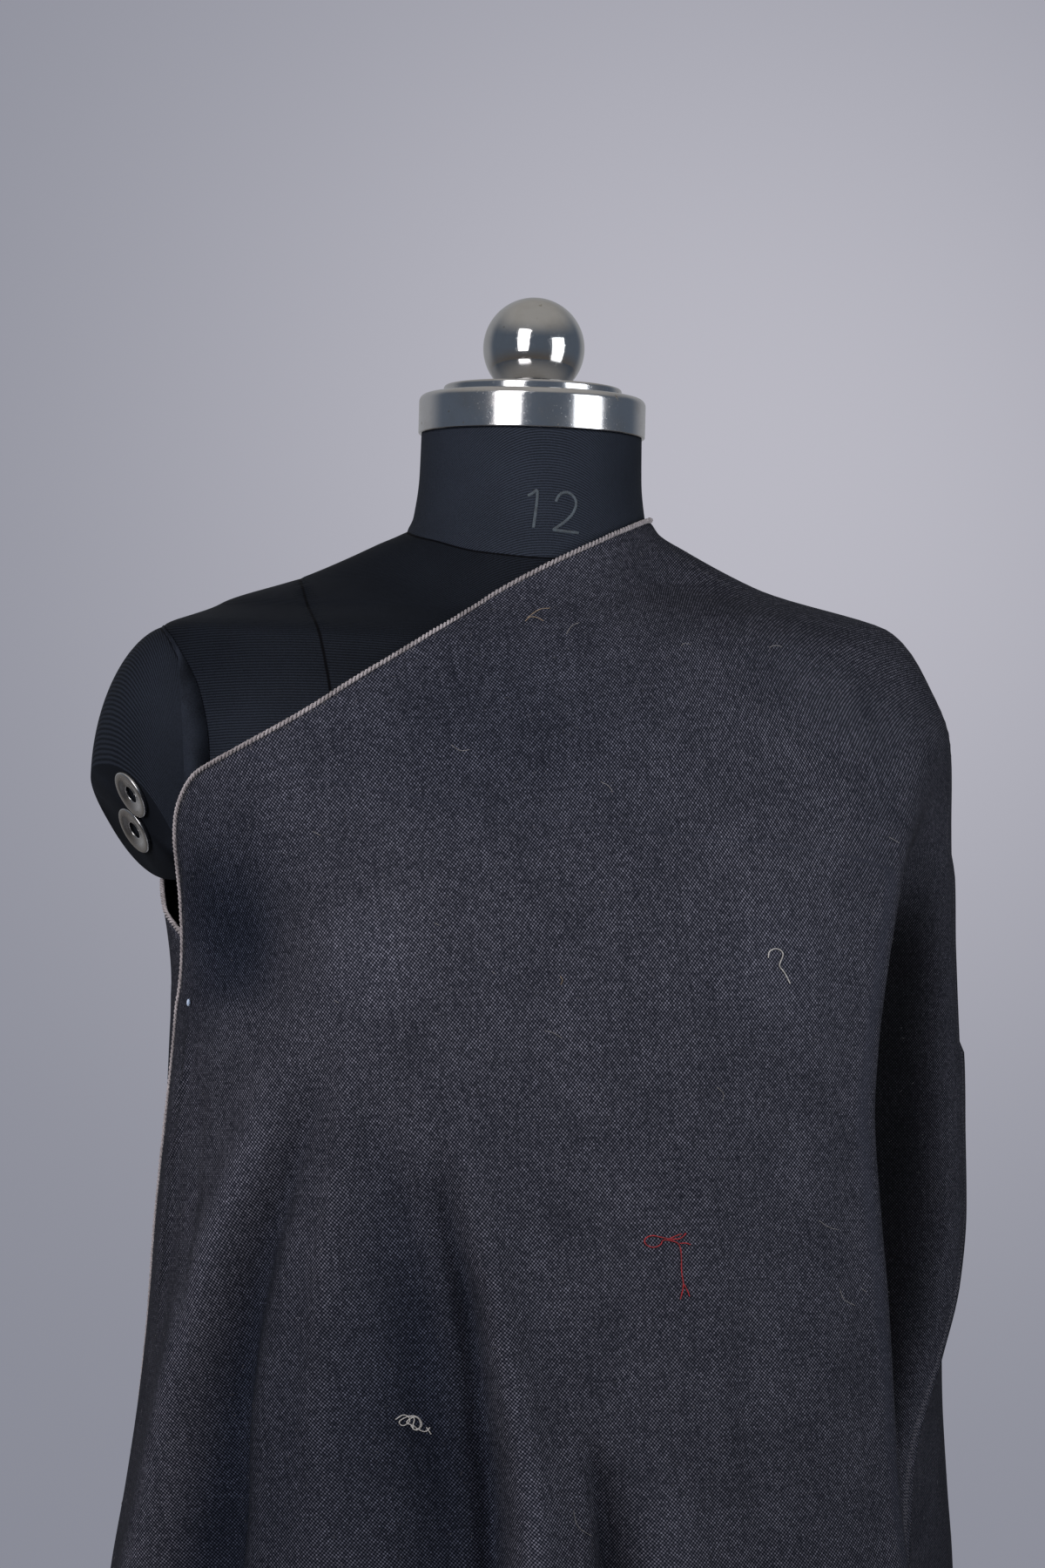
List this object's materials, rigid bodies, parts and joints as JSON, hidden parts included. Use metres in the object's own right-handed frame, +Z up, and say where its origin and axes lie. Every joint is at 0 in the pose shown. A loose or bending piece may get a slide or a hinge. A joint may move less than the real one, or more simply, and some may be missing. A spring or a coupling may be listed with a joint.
{
  "type": "stole on a limbless dress form",
  "caption": "Rectangular woven stole with a light selvedge, draped over one shoulder of a limbless dress form on a pole and round base.",
  "frame": {"origin": "middle of the stand base's underside, on the floor under the pole", "axes": "+Z up along the pole, -Y to the front of the form, +X to the right as seen from the front, the side of the covered shoulder"},
  "size_m": [0.5071, 0.43, 1.52],
  "materials": {
    "stole_cloth": "soft napped plain weave, dark navy charcoal with small grey flecks",
    "selvedge": "light pinkish grey woven edge",
    "pin_head": "glossy pale blue bead",
    "jersey": "black fine-ribbed stretch jersey",
    "washer": "bright turned metal",
    "neck_chrome": "polished, faint turning lines and a little tarnish",
    "board": "matte black",
    "stand_metal": "bright plated tube",
    "base_paint": "satin black powder coat"
  },
  "bodies": {
    "root": {"stole_front": "stole_cloth", "stole_side": "stole_cloth", "stole_back": "stole_cloth", "selvedge_front": "selvedge", "selvedge_back": "selvedge", "side_pin": "pin_head", "form_torso": "jersey", "arm_cap_left": "jersey", "arm_cap_right": "jersey", "arm_washer_upper": "washer", "arm_washer_lower": "washer", "neck_band": "neck_chrome", "neck_disc": "neck_chrome", "neck_knob": "neck_chrome", "bottom_board": "board", "pole_collar": "stand_metal", "pole": "stand_metal", "stand_base": "base_paint"}
  },
  "joints": []
}
